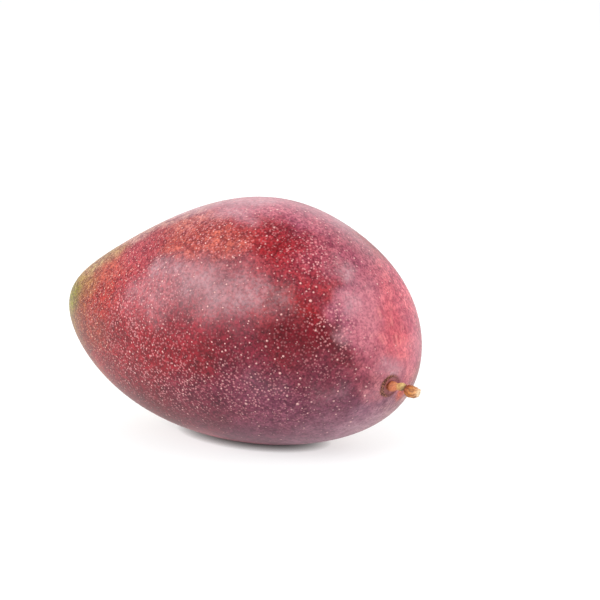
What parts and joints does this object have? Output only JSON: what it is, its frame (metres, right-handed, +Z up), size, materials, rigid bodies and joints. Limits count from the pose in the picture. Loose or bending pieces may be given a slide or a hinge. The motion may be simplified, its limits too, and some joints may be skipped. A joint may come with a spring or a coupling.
{
  "type": "mango",
  "caption": "Ripe red and purple mango, picked whole, with a short bent stub of stem, lying on a small flat spot.",
  "frame": {"origin": "centre of the flat spot that the fruit rests on", "axes": "+X along the fruit's length towards the stem end, +Z up, the side with the stem turned towards -Y"},
  "size_m": [0.1466, 0.0862, 0.0884],
  "materials": {
    "skin": "smooth waxy skin, red and purple with a green apex, pale pores and a dull bloom",
    "stem": "dry, dull, orange-brown, with a pale broken end"
  },
  "bodies": {
    "root": {"fruit": "skin", "stem": "stem"}
  },
  "joints": []
}
